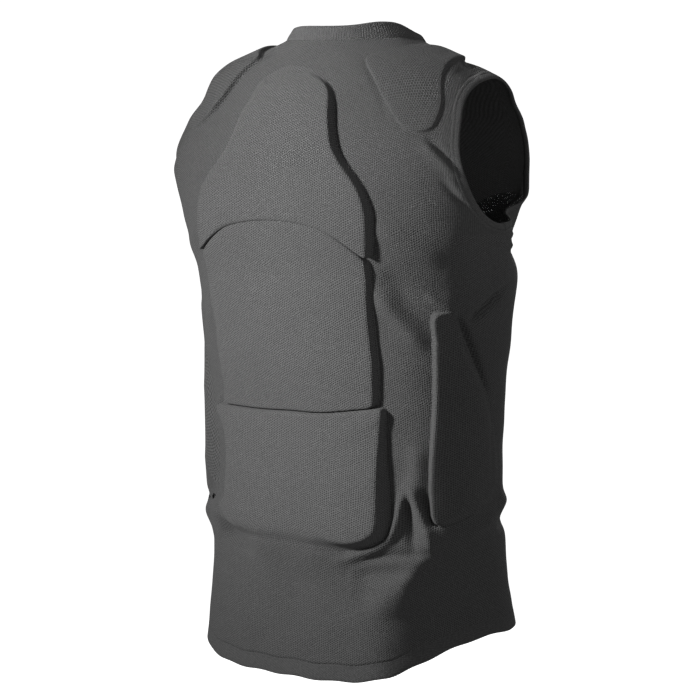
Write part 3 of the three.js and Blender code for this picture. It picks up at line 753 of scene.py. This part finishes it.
RIB_OUTLINE = [
    Spot(-7, -283), Spot(-28, -284, thin=0.3), Spot(-38, -306, thin=0.4), Spot(-54, -336, thin=0.4),
    Spot(-70, -364, thin=0.4), Spot(-84, -394, thin=0.5), Spot(-94, -434, 0.3, thin=0.5),
    Spot(-95, -468, 0.5, thin=0.5), Spot(-87, -481, 0.5, thin=0.4), Spot(-50, -494, 0.3, thin=0.2),
    Spot(-18, -503), Spot(-14, -497), Spot(-12.5, -480), Spot(-12, -430), Spot(-12, -372), Spot(-8, -310),
]
SHOULDER_OUTLINE = [Spot(*row) for row in (
    (74, -72), (96, -94), (118, -111), (133, -122), (146, -125), (160, -122),
    (168, -114), (169, -103), (166, -88), (159, -68), (150, -42), (141, -14),
    (134, 4), (124, 12), (113, 13), (106, 7), (101, -9), (95, -30), (85, -54),
    (76, -66),
)]


def both_halves(half, shift):
    """Whole outline from its half, moved to the wearer's left."""
    left = [s._replace(a=s.a + shift, b=s.b - s.sag, soft=max(s.soft, s.left), lean=0) for s in half]
    right = [s._replace(a=shift - s.a) for s in half[1:-1]]
    return left + right[::-1]


# Edge of a guard from the flare on the shirt to the flat of its face: inset from the outline for a crisp
# and for a soft edge, share of the guard's height, and a lift of its own
EdgePoint = namedtuple("EdgePoint", "crisp soft height lift")
PAD_EDGE = [EdgePoint(*row) for row in (
    (-2.2, -11, 0.0, -0.5), (-1.2, -8, 0.0, 0.2), (-0.5, -5, 0.06, 0.3), (0.0, -2, 0.18, 0.2),
    (0.15, 1, 0.38, 0.0), (0.35, 4, 0.58, 0.0), (0.6, 7, 0.76, 0.0), (1.0, 10, 0.88, 0.0),
    (1.6, 13, 0.95, 0.0), (2.5, 17, 0.985, 0.0), (4.0, 22, 1.0, 0.0),
)]
FACE_RINGS = 26
PAD_STEP = 2.2
CROWN = 0.05
THIN_POWER = 5
HUB_SHARE = 0.4
LEAST_SLANT = 0.35
MOST_INSET = 0.5
UNDER_SHARE = 0.5
UNDER_DEPTH = 0.9
FAR_OUT = 420
DROP_STEP = 6
SPLINE_STEPS = 12


def closed_spline(spots, step):
    """Even points along a smooth closed curve through the spots, with their other columns."""
    p = np.array(spots, float)
    before, after, far = np.roll(p, 1, 0), np.roll(p, -1, 0), np.roll(p, -2, 0)
    gap = []
    for a, b in ((before, p), (p, after), (after, far)):
        gap.append(np.sqrt(np.linalg.norm((b - a)[:, :2], axis=1))[:, None])
    start = (p - before) / gap[0] - (after - before) / (gap[0] + gap[1]) + (after - p) / gap[1]
    finish = (after - p) / gap[1] - (far - p) / (gap[1] + gap[2]) + (far - after) / gap[2]
    start, finish = start * gap[1], finish * gap[1]
    start[:, 2:], finish[:, 2:] = 0, 0
    t = np.linspace(0, 1, SPLINE_STEPS, endpoint=False)[None, :, None]
    s = 1 - t
    curve = (1 + 2 * t) * s * s * p[:, None] + t * t * (3 - 2 * t) * after[:, None]
    curve = (curve + t * s * s * start[:, None] - t * t * s * finish[:, None]).reshape(-1, p.shape[1])
    loop = np.concatenate([curve, curve[:1]])
    lengths = run_lengths(loop[:, :2])
    return even_points(loop, lengths, int(round(lengths[-1] / step)))


def seen_on_body(view, spots):
    """Where lines of sight along the view meet the shirt."""
    base = spots[:, :1] * view.across + spots[:, 1:] * view.up
    outside = np.full(len(spots), float(FAR_OUT))
    going = np.ones(len(spots), bool)
    while going.any() and outside.min() > -FAR_OUT:
        ahead = base + (outside - DROP_STEP)[:, None] * view.outward
        going &= body_level(ahead) > 1
        outside = np.where(going, outside - DROP_STEP, outside)
    reach = surface_along(base, view.outward, outside - DROP_STEP, outside)
    return base + reach[:, None] * view.outward


# A level face starts at a and rises by slope towards the guard's high edge
Level = namedtuple("Level", "a slope")


def level_lift(view, level, spots):
    """What a guard with a level face has over its height."""
    line = spots * [0, 1] + [level.a, 0]
    fall = (seen_on_body(view, line) - seen_on_body(view, spots)) @ view.outward
    before = spots[:, 0] - level.a
    return np.clip(fall + level.slope * before, 0, None) * (before > 0)


# heights is a list of (b, height) from top to foot, and softer is the least softness of the edge
Guard = namedtuple("Guard", "name view outline heights hand softer level", defaults=(LEFT, 0.0, None))


def guard_height(guard, spots, thinning):
    levels = np.array(guard.heights, float)[::-1]
    height = np.interp(spots[:, 1], levels[:, 0], levels[:, 1])
    if guard.level is not None:
        height = height + level_lift(guard.view, guard.level, spots)
    return height * (1 - thinning)


def outward_along(edge):
    """Directions out of a closed outline, at each of its points."""
    ahead, behind = np.roll(edge, -1, 0), np.roll(edge, 1, 0)
    tangent = unit(ahead - behind)
    area = (edge[:, 0] * ahead[:, 1] - ahead[:, 0] * edge[:, 1]).sum()
    return np.stack([tangent[:, 1], -tangent[:, 0]], -1) * np.sign(area)


def closed_skin(rings, top, low):
    """Points and faces over rings of like count, closed by fans at a top and a low point."""
    count = len(rings[0])
    at = np.arange(len(rings) * count).reshape(len(rings), count)
    faces = ring_faces(at)
    for k in range(count):
        after = (k + 1) % count
        faces.append([at[-1, k], at[-1, after], at.size])
        faces.append([at[0, after], at[0, k], at.size + 1])
    return np.concatenate([*rings, top, low]), faces


def foam_guard(guard):
    """Crowned guard on the shirt, closed underneath."""
    edge = closed_spline(guard.outline, PAD_STEP)
    soft, lean, thin = np.maximum(edge[:, 2:3], guard.softer), edge[:, 3:4], edge[:, 5]
    edge = edge[:, :2]
    outward = outward_along(edge)
    centre = (edge.max(0) + edge.min(0)) / 2
    ray = unit(edge - centre)
    ray_length = np.linalg.norm(edge - centre, axis=1, keepdims=True)
    slant = np.clip((ray * outward).sum(1, keepdims=True), LEAST_SLANT, 1)
    rings, weave = [], []
    travelled = np.zeros(len(edge))
    for point in PAD_EDGE:
        inset = point.crisp + soft * (point.soft - point.crisp) - lean * (1 - point.height)
        inward = np.minimum(np.maximum(inset, 0) / slant, MOST_INSET * ray_length)
        rim = edge - ray * inward - outward * np.minimum(inset, 0)
        foot = seen_on_body(guard.view, rim)
        relief = cloth_relief(round_distance(foot * [guard.hand, 1, 1]), foot[:, 2])
        lift = guard_height(guard, rim, thin) * point.height + point.lift + relief * (1 - point.height)
        ring = foot + body_normal(foot) * lift[:, None]
        if rings:
            travelled = travelled + np.linalg.norm(ring - rings[-1], axis=1)
        rings.append(ring)
        weave.append(travelled)
    weave = [rim + outward * (travelled - w)[:, None] for w in weave]
    for k in range(1, FACE_RINGS + 1):
        scale = 1 - k / (FACE_RINGS + HUB_SHARE)
        spots = centre + (rim - centre) * scale
        foot = seen_on_body(guard.view, spots)
        crown = 1 + CROWN * (1 - scale ** 2)
        lift = guard_height(guard, spots, thin * scale ** THIN_POWER) * crown
        rings.append(foot + body_normal(foot) * lift[:, None])
        weave.append(spots)
    spots = centre + (edge - centre) * UNDER_SHARE
    foot = seen_on_body(guard.view, spots)
    rings.insert(0, foot - body_normal(foot) * UNDER_DEPTH)
    weave.insert(0, spots)
    foot = seen_on_body(guard.view, centre[None])
    out = body_normal(foot)
    top = foot + out * guard_height(guard, centre[None], 0)[:, None] * (1 + CROWN)
    points, faces = closed_skin(rings, top, foot - out * UNDER_DEPTH)
    points[:, 0] *= guard.hand
    uvs = np.concatenate([*weave, centre[None], centre[None]])
    return edit_mesh(new_mesh(f"{guard.name}_cover", points, faces, uvs), face_outwards)


# Finishes
SHIRT_TONE = 0.126
# The spine guards' covers and the neck rib take a lighter tone than the shirt, a painted highlight
PAINTED_HIGHLIGHT_TONE = 0.150
THREAD_TONE = 0.075
# The last column is the tone share at the bottom of each knit pit, a painted shade
Mesh = namedtuple("Mesh", "wale course depth pits")
BODY_MESH = Mesh(4.8, 2.45, 0.0010, 0.4)
COVER_MESH = Mesh(4.8, 2.45, 0.0010, 0.34)
EDGE_MESH = Mesh(3.4, 1.8, 0.0006, 0.45)
YARN_SCALE = 520.0
PATCH_SCALE = 14.0
DRAWN_SCALE = 85.0
DRAWN_REACH = 2.6
TWIST_SCALE = 900.0
# Shape of the pit pattern, which sinks the bump and darkens the colour as painted shade
PIT_SHARES = {"stagger": 0.55, "wales": 0.5}
PIT_RANGE = (-0.1, 0.85)
FUZZ_RANGE = (0.3, 0.7)
TONE_SHARES = {"fuzz": 0.8, "patch": 0.25}
TONE_SPAN = (0.72, 1.28)
YARN_RISE = 0.4


def add_node(tree, kind, inputs=None, **settings):
    """Node with its settings. Each input is a value, or a socket that it is linked to."""
    made = tree.nodes.new(kind)
    for key, value in settings.items():
        setattr(made, key, value)
    for key, value in (inputs or {}).items():
        if isinstance(value, bpy.types.NodeSocket):
            tree.links.new(value, made.inputs[key])
        else:
            made.inputs[key].default_value = value
    return made


def add_maths(tree, operation, first, second=0.0):
    return add_node(tree, "ShaderNodeMath", {0: first, 1: second}, operation=operation).outputs[0]


class Finish:
    """A material with its node tree, and short calls to add nodes and links."""

    def __init__(self, name):
        self.material = bpy.data.materials.new(name)
        self.material.use_nodes = True
        self.tree = self.material.node_tree
        self.shader = self.tree.nodes["Principled BSDF"]

    def node(self, kind, inputs=None, **settings):
        return add_node(self.tree, kind, inputs, **settings)

    def maths(self, operation, first, second=0.0):
        return add_maths(self.tree, operation, first, second)

    def noise(self, spot, scale, detail):
        return self.node("ShaderNodeTexNoise", {"Vector": spot, "Scale": scale, "Detail": detail}).outputs[0]

    def between(self, value, low, high):
        limits = {"Value": value, "From Min": low, "From Max": high}
        return self.node("ShaderNodeMapRange", limits, clamp=True).outputs[0]

    def blend(self, share, low, high):
        return self.node("ShaderNodeMix", {0: share, 6: low, 7: high}, data_type="RGBA").outputs[2]

    def bump(self, height, strength, distance):
        made = self.node("ShaderNodeBump", {"Height": height, "Strength": strength, "Distance": distance})
        self.tree.links.new(made.outputs[0], self.shader.inputs["Normal"])

    def colour(self, socket):
        self.tree.links.new(socket, self.shader.inputs["Base Color"])

    def set(self, **values):
        for key, value in values.items():
            self.shader.inputs[key.replace("_", " ")].default_value = value


def grey(tone):
    return (tone, tone, tone, 1)


def knit_finish(name, mesh, shade):
    """Open mesh knit: wales and a staggered pit pattern drawn uneven by wear, fuzzy yarn, slow changes of
    tone. Each pit is sunk by the bump and darkened in colour as painted shade.
    """
    f = Finish(name)
    spot = f.node("ShaderNodeTexCoord").outputs["Object"]
    place = f.node("ShaderNodeUVMap", uv_map="weave").outputs[0]
    parts = f.node("ShaderNodeSeparateXYZ", {0: place})
    shift = f.maths("MULTIPLY", f.noise(spot, DRAWN_SCALE, 1.0), DRAWN_REACH)
    turns = []
    for k, pitch in ((0, mesh.wale), (1, mesh.course)):
        along = f.maths("ADD", parts.outputs[k], shift)
        turns.append(f.maths("SINE", f.maths("MULTIPLY", along, 2 * math.pi / pitch)))
    stagger = f.maths("MULTIPLY", f.maths("MULTIPLY", *turns), PIT_SHARES["stagger"])
    wales = f.maths("MULTIPLY", f.maths("MULTIPLY", turns[0], turns[0]), PIT_SHARES["wales"])
    pits = f.between(f.maths("ADD", stagger, wales), *PIT_RANGE)
    yarn = f.noise(spot, YARN_SCALE, 2.0)
    fuzz = f.maths("MULTIPLY", f.between(yarn, *FUZZ_RANGE), TONE_SHARES["fuzz"])
    patch = f.maths("MULTIPLY", f.noise(spot, PATCH_SCALE, 3.0), TONE_SHARES["patch"])
    yarns = f.blend(f.maths("ADD", fuzz, patch), *(grey(span * shade) for span in TONE_SPAN))
    # Painted shade: the colour darkens in each pit of the knit
    f.colour(f.blend(pits, yarns, grey(mesh.pits * shade)))
    f.bump(f.maths("SUBTRACT", f.maths("MULTIPLY", yarn, YARN_RISE), pits), 0.6, mesh.depth)
    f.set(Roughness=0.92, Sheen_Weight=0.12, Sheen_Roughness=0.5, IOR=1.4, Specular_IOR_Level=0.2)
    return f.material


def thread_finish():
    """Sewing thread: fine twist across each stitch."""
    f = Finish("sewing_thread")
    spot = f.node("ShaderNodeTexCoord").outputs["Object"]
    twist = f.node("ShaderNodeTexWave", {"Vector": spot, "Scale": TWIST_SCALE, "Distortion": 1.5}).outputs[1]
    f.colour(f.blend(twist, grey(0.7 * THREAD_TONE), grey(THREAD_TONE)))
    f.bump(twist, 0.4, 0.0002)
    f.set(Roughness=0.7)
    return f.material


# Geometry trees, with their sizes in metres
STITCH = {"Pitch": 0.003, "Length": 0.0026, "Width": 0.0007}
RIBBING = {"Ribs": float(RIBS), "Depth": 0.00018}


def new_tree(name, sizes):
    """Geometry tree with a geometry in and out, the sizes and a material as inputs."""
    tree = bpy.data.node_groups.new(name, "GeometryNodeTree")
    sockets = tree.interface
    sockets.new_socket("Geometry", in_out="INPUT", socket_type="NodeSocketGeometry")
    for label, value in sizes.items():
        sockets.new_socket(label, in_out="INPUT", socket_type="NodeSocketFloat").default_value = value
    sockets.new_socket("Material", in_out="INPUT", socket_type="NodeSocketMaterial")
    sockets.new_socket("Geometry", in_out="OUTPUT", socket_type="NodeSocketGeometry")
    return tree, tree.nodes.new("NodeGroupInput"), tree.nodes.new("NodeGroupOutput")


def finish_tree(tree, source, result, out):
    """Ends a tree: instances realized, smooth faces, one material."""
    real = add_node(tree, "GeometryNodeRealizeInstances", {0: result})
    smooth = add_node(tree, "GeometryNodeSetShadeSmooth", {0: real.outputs[0]})
    dressed = {"Geometry": smooth.outputs[0], "Material": source.outputs["Material"]}
    tree.links.new(add_node(tree, "GeometryNodeSetMaterial", dressed).outputs[0], out.inputs[0])
    return tree


def stitch_tree():
    """Short threads laid end to end along a line of edges."""
    tree, source, out = new_tree("stitch_row", STITCH)
    pitch, length, width = (source.outputs[key] for key in STITCH)
    line = add_node(tree, "GeometryNodeMeshToCurve", {0: source.outputs["Geometry"]}).outputs[0]
    even = add_node(tree, "GeometryNodeResampleCurve", {"Curve": line, "Length": pitch}, mode="LENGTH")
    bead = add_node(tree, "GeometryNodeMeshIcoSphere", {"Radius": 0.5, "Subdivisions": 2})
    size = add_node(tree, "ShaderNodeCombineXYZ", {0: length, 1: width, 2: width})
    way = add_node(tree, "GeometryNodeInputTangent").outputs[0]
    turn = add_node(tree, "FunctionNodeAlignRotationToVector", {"Vector": way}, axis="X")
    place = add_node(tree, "GeometryNodeInstanceOnPoints", {
        "Points": even.outputs[0], "Instance": bead.outputs[0],
        "Rotation": turn.outputs[0], "Scale": size.outputs[0],
    })
    return finish_tree(tree, source, place.outputs[0], out)


def rib_tree():
    """Ribs raised out of a band by waves round it, faded at the band's edges."""
    tree, source, out = new_tree("knit_ribs", RIBBING)
    fields = []
    for label in ("around", "rib_share"):
        field = add_node(tree, "GeometryNodeInputNamedAttribute", {"Name": label}, data_type="FLOAT")
        fields.append(field.outputs["Attribute"])
    around, share = fields
    ribs = add_maths(tree, "MULTIPLY", around, source.outputs["Ribs"])
    turns = add_maths(tree, "MULTIPLY", ribs, 2 * math.pi)
    wave = add_maths(tree, "MULTIPLY", add_maths(tree, "SINE", turns), share)
    lift = add_maths(tree, "MULTIPLY", wave, source.outputs["Depth"])
    normal = add_node(tree, "GeometryNodeInputNormal").outputs[0]
    offset = add_node(tree, "ShaderNodeVectorMath", {0: normal, "Scale": lift}, operation="SCALE").outputs[0]
    moved = {"Geometry": source.outputs["Geometry"], "Offset": offset}
    return finish_tree(tree, source, add_node(tree, "GeometryNodeSetPosition", moved).outputs[0], out)


def grow(obj, tree, **inputs):
    """Runs a geometry tree on an object and keeps the result as its plain mesh."""
    modifier = obj.modifiers.new(tree.name, "NODES")
    modifier.node_group = tree
    for socket in tree.interface.items_tree:
        if socket.in_out == "INPUT" and socket.name in inputs:
            modifier[socket.identifier] = inputs[socket.name]
    evaluated = obj.evaluated_get(bpy.context.evaluated_depsgraph_get())
    mesh = bpy.data.meshes.new_from_object(evaluated)
    obj.modifiers.remove(modifier)
    old = obj.data
    obj.data = mesh
    mesh.name = obj.name
    bpy.data.meshes.remove(old)
    return obj


def stitch_row(name, sections):
    """Threads along the closed line of one-point sections."""
    line = np.concatenate([sections[:, 0], sections[:1, 0]])
    path = new_mesh(name, line, [], edges=[(k, k + 1) for k in range(len(line) - 1)])
    return grow(path, STITCHES, **STITCH, Material=THREAD)


# Studio
EYE_AZIMUTH = math.radians(220)
EYE_ELEVATION = math.radians(5.5)
EYE_DISTANCE = 3.0
AIM = Vector((0, 0, -0.335))
LENS = 142.9
SENSOR = 36.0
FRAME_SHIFT = -5 / 700
Lamp = namedtuple("Lamp", "name place aim size power spread")
LAMPS = [
    Lamp("key", (0.57, 1.56, 0.26), (-0.06, 0.1, -0.33), 0.24, 2.05, 43),
    Lamp("neck", (0.62, 1.25, 0.72), (0.01, 0.07, 0.0), 0.1, 0.09, 15),
    Lamp("arm", (-1.9, 1.75, -0.05), (-0.17, -0.06, -0.14), 0.2, 0.013, 8),
    Lamp("side", (-3.0, 0.3, -0.2), AIM, 2.2, 5, 180),
    Lamp("front", (1.3, -2.4, 0.3), AIM, 1.6, 30, 180),
]
FILL_LEVEL = 0.135
FLOOR_LEVEL = -1.2
SHELL_RADIUS = 7.0
SHELL_HEIGHT = 9.0
SHELL_BEND = 2.0
SHELL_SIDES = 72
FLOOR_RINGS = 6
BEND_STEPS = 8


def direction(azimuth, elevation):
    c = math.cos(elevation)
    return Vector((math.sin(azimuth) * c, -math.cos(azimuth) * c, math.sin(elevation)))


def aim_at(obj, place, aim):
    obj.location = place
    obj.rotation_euler = (aim - place).to_track_quat("-Z", "Y").to_euler()
    bpy.context.scene.collection.objects.link(obj)


def camera():
    data = bpy.data.cameras.new("camera")
    data.lens = LENS
    data.sensor_width = SENSOR
    data.shift_x = FRAME_SHIFT
    data.clip_end = 100
    obj = bpy.data.objects.new("camera", data)
    aim_at(obj, AIM + direction(EYE_AZIMUTH, EYE_ELEVATION) * EYE_DISTANCE, AIM)
    bpy.context.scene.camera = obj


def lights():
    for lamp in LAMPS:
        data = bpy.data.lights.new(lamp.name, "AREA")
        data.shape = "DISK"
        data.size = lamp.size
        data.energy = lamp.power
        data.spread = math.radians(lamp.spread)
        aim_at(bpy.data.objects.new(lamp.name, data), Vector(lamp.place), Vector(lamp.aim))
    world = bpy.data.worlds.new("fill")
    world.use_nodes = True
    sky = world.node_tree.nodes["Background"]
    sky.inputs["Color"].default_value = (1, 1, 1, 1)
    sky.inputs["Strength"].default_value = FILL_LEVEL
    bpy.context.scene.world = world


def studio_shell():
    """Pale floor that rises into a round backdrop. It shows white and sheds no light on the vest."""
    profile = [(SHELL_RADIUS * k / FLOOR_RINGS, FLOOR_LEVEL) for k in range(FLOOR_RINGS)]
    for k in range(BEND_STEPS + 1):
        turn = math.pi / 2 * k / BEND_STEPS
        level = FLOOR_LEVEL + SHELL_BEND * (1 - math.cos(turn))
        profile.append((SHELL_RADIUS + SHELL_BEND * math.sin(turn), level))
    profile.append((SHELL_RADIUS + SHELL_BEND, SHELL_HEIGHT))
    around = np.linspace(0, 2 * np.pi, SHELL_SIDES, endpoint=False)
    points = [[(r * math.cos(t), r * math.sin(t), z) for t in around] for r, z in profile]
    faces = ring_faces(np.arange(len(profile) * SHELL_SIDES).reshape(-1, SHELL_SIDES))
    shell = new_mesh("studio_shell", np.reshape(points, (-1, 3)) / MM, faces)
    paper = Finish("backdrop_paper")
    paper.set(Roughness=1.0, Emission_Color=(1, 1, 1, 1), Emission_Strength=1.0)
    shell.data.materials.append(paper.material)
    for way in ("diffuse", "glossy", "transmission", "volume_scatter", "shadow"):
        setattr(shell, f"visible_{way}", False)


def settle(obj, material, slot, *nodes):
    """Gives a piece its finish, hides the solids that it stands for, and fastens it to the vest. Its slot is
    not used.
    """
    if material is not None:
        obj.data.materials.clear()
        obj.data.materials.append(material)
    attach(obj, "root")
    if nodes:
        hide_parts(*nodes)
    return obj


camera()
lights()
studio_shell()
bpy.context.scene.view_settings.view_transform = "Standard"

KNIT = knit_finish("mesh_knit", BODY_MESH, SHIRT_TONE)
# Guard covers and neck rib in the lighter tone: painted highlight
COVER = knit_finish("guard_cover_knit_painted_highlight", COVER_MESH, PAINTED_HIGHLIGHT_TONE)
RIB = knit_finish("rib_knit", EDGE_MESH, PAINTED_HIGHLIGHT_TONE)
EDGE = knit_finish("turned_edge_knit", EDGE_MESH, SHIRT_TONE)
THREAD = thread_finish()
STITCHES = stitch_tree()

cloth = settle(shirt(), KNIT, "knit", "front_panel", "back_panel")
ribbed = grow(neckband(), rib_tree(), **RIBBING, Material=RIB)
trims = [settle(ribbed, None, "rib_knit", "neckband")]
for side, hand in (("left", LEFT), ("right", RIGHT)):
    edging = ring_object(f"arm_edge_{side}", armhole_sections(hand, BINDING_PROFILE))
    trims.append(settle(edging, EDGE, "edge_knit", f"armhole_binding_{side}"))
trims.append(settle(ring_object("hem_band", hem_sections(HEM_PROFILE)), EDGE, "edge_knit", "hem"))
SEAMS = {
    "armhole_stitches_left": armhole_sections(LEFT, [BINDING_THREAD]),
    "armhole_stitches_right": armhole_sections(RIGHT, [BINDING_THREAD]),
    "hem_stitches": hem_sections([HEM_THREAD]),
}
for name, sections in SEAMS.items():
    trims.append(settle(stitch_row(name, sections), None, "edge_knit"))

SPINE_GUARDS = [
    Guard("back_pad_upper", back_view(), both_halves(UPPER_HALF, 3),
          [(-37, 2.5), (-51, 8), (-80, 12), (-109, 12.5), (-157, 13), (-181, 13), (-226, 12)]),
    Guard("back_pad_middle", back_view(), both_halves(MIDDLE_HALF, 4),
          [(-188, 11), (-215, 10.2), (-245, 8.5), (-300, 9), (-340, 10), (-392, 9)]),
    Guard("back_pad_lumbar", back_view(), both_halves(LUMBAR_HALF, 5),
          [(-382, 10), (-402, 11.5), (-422, 13), (-464, 19), (-508, 21.5), (-532, 21.5)]),
]
OUTER_FROM = 128
OUTER_THIN = 0.5
LEFT_SHOULDER = [s._replace(thin=OUTER_THIN) if s.a > OUTER_FROM else s for s in SHOULDER_OUTLINE]
PAIRED_GUARDS = [
    Guard("shoulder_pad_left", shoulder_view(), LEFT_SHOULDER,
          [(14, 4), (-40, 5), (-125, 5.5)], LEFT, 0.06),
    Guard("shoulder_pad_right", shoulder_view(), SHOULDER_OUTLINE,
          [(14, 5), (-40, 3.2), (-125, 3.2)], RIGHT),
    Guard("rib_pad_left", rib_view(), RIB_OUTLINE,
          [(-283, 2.5), (-330, 5), (-380, 12), (-460, 16), (-501, 13)], LEFT, 0.9),
    Guard("rib_pad_right", rib_view(), RIB_OUTLINE,
          [(-283, 6), (-330, 8), (-400, 7), (-450, 5), (-503, 4.5)], RIGHT, level=Level(-40, 0.07)),
]
for guards, finish in ((SPINE_GUARDS, COVER), (PAIRED_GUARDS, KNIT)):
    for guard in guards:
        settle(foam_guard(guard), finish, "pad_cover", guard.name)
